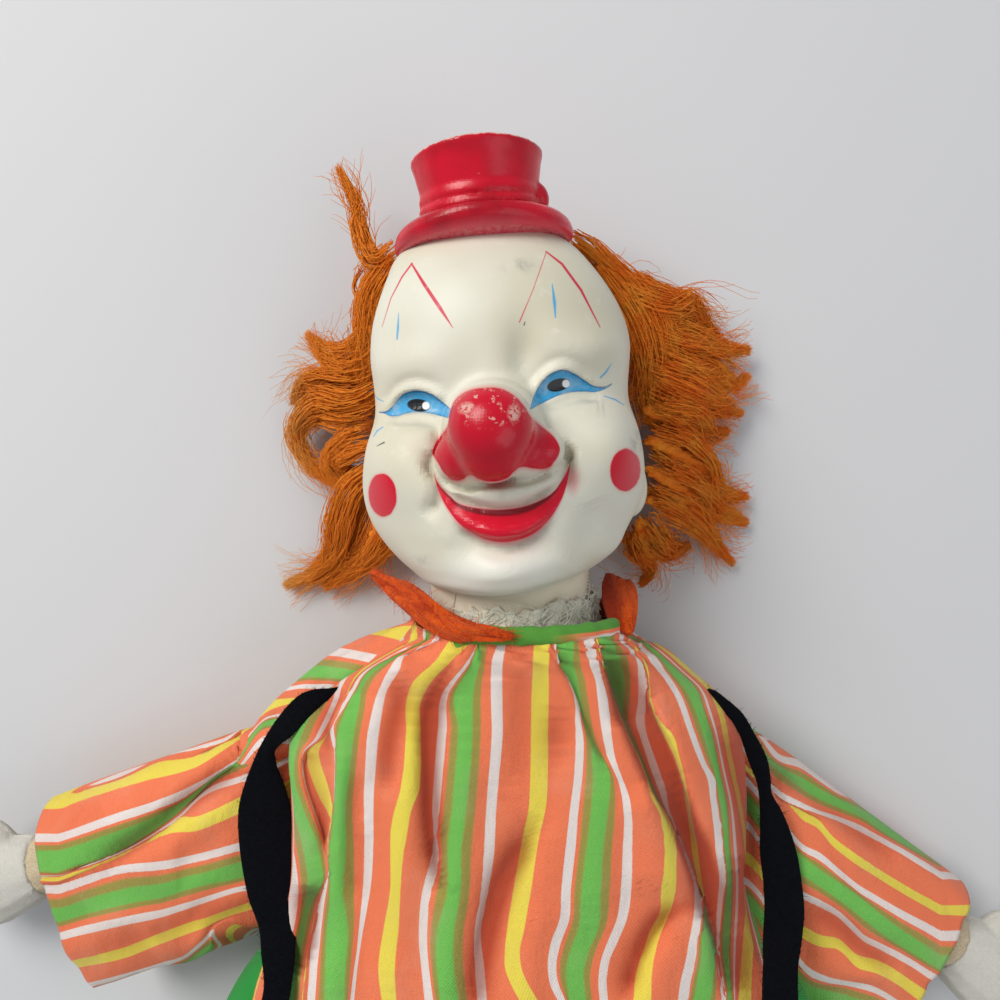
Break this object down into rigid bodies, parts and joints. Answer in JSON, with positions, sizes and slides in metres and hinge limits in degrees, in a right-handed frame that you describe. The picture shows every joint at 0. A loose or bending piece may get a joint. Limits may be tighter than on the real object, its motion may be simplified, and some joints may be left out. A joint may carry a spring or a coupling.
{
  "type": "clown doll",
  "caption": "Soft clown doll with a hollow moulded head and top hat, orange wool hair, striped shirt, felt suspenders and baggy trousers, lying on its back.",
  "frame": {"origin": "on the flat of the shirt's back that the doll lies on, below the middle of the chest", "axes": "+Z out of the chest, +Y up the body towards the hat, +X towards the doll's own left"},
  "size_m": [0.3661, 0.5301, 0.0977],
  "materials": {
    "painted_vinyl": "hollow soft vinyl, cream with hand-painted glossy red and blue, dirt in the creases",
    "orange_wool": "combed orange wool fleece in loose locks",
    "body_muslin": "plain woven cotton body cloth",
    "soft_filling": "loose white stuffing",
    "pale_cord": "twisted cotton string",
    "white_felt": "white felt",
    "striped_cotton": "thin plain-weave cotton with woven stripes in orange, yellow, green and white",
    "green_binding": "green bias binding",
    "green_twill": "bright green cotton twill",
    "orange_felt": "orange felt strip",
    "black_felt": "black felt with pilled fibres",
    "sole_felt": "tan felt sole"
  },
  "bodies": {
    "torso": {"torso_cover": "body_muslin", "torso_stuffing": "soft_filling", "shirt_front": "striped_cotton", "shirt_back": "striped_cotton", "neck_binding": "green_binding", "neck_scarf": "orange_felt", "suspender_left": "black_felt", "suspender_right": "black_felt", "trousers_seat": "green_twill", "waistband": "green_twill"},
    "neck": {"neck_fray": "body_muslin", "neck_tie_cord": "pale_cord"},
    "head": {"head_shell": "painted_vinyl", "hair_back": "orange_wool", "hair_left": "orange_wool", "hair_right": "orange_wool"},
    "arm_left": {"arm_cover_left": "body_muslin", "arm_stuffing_left": "soft_filling", "hand_left": "white_felt", "sleeve_left": "striped_cotton"},
    "arm_right": {"arm_cover_right": "body_muslin", "arm_stuffing_right": "soft_filling", "hand_right": "white_felt", "sleeve_right": "striped_cotton"},
    "leg_left": {"leg_cover_left": "body_muslin", "leg_stuffing_left": "soft_filling", "trouser_leg_left": "green_twill", "shoe_upper_left": "black_felt", "shoe_sole_left": "sole_felt"},
    "leg_right": {"leg_cover_right": "body_muslin", "leg_stuffing_right": "soft_filling", "trouser_leg_right": "green_twill", "shoe_upper_right": "black_felt", "shoe_sole_right": "sole_felt"}
  },
  "joints": [
    {"name": "head_nod", "type": "hinge", "parent": "torso", "child": "neck", "pos_m": [0, 0.052, 0.034], "axis": [1, 0, 0], "range_deg": [-12, 12]},
    {"name": "head_turn", "type": "hinge", "parent": "neck", "child": "head", "pos_m": [0, 0.052, 0.034], "axis": [-0.0785, 0.9969, 0], "range_deg": [-40, 40]},
    {"name": "shoulder_left", "type": "hinge", "parent": "torso", "child": "arm_left", "pos_m": [0.0604, 0.015, 0.0175], "axis": [0, 0, 1], "range_deg": [-14, 91]},
    {"name": "shoulder_right", "type": "hinge", "parent": "torso", "child": "arm_right", "pos_m": [-0.0604, 0.015, 0.0175], "axis": [0, 0, -1], "range_deg": [-30, 75]},
    {"name": "hip_left", "type": "hinge", "parent": "torso", "child": "leg_left", "pos_m": [0.0425, -0.118, 0.0205], "axis": [-1, 0, 0], "range_deg": [-25, 90]},
    {"name": "hip_right", "type": "hinge", "parent": "torso", "child": "leg_right", "pos_m": [-0.0425, -0.118, 0.0205], "axis": [-1, 0, 0], "range_deg": [-25, 90]}
  ]
}
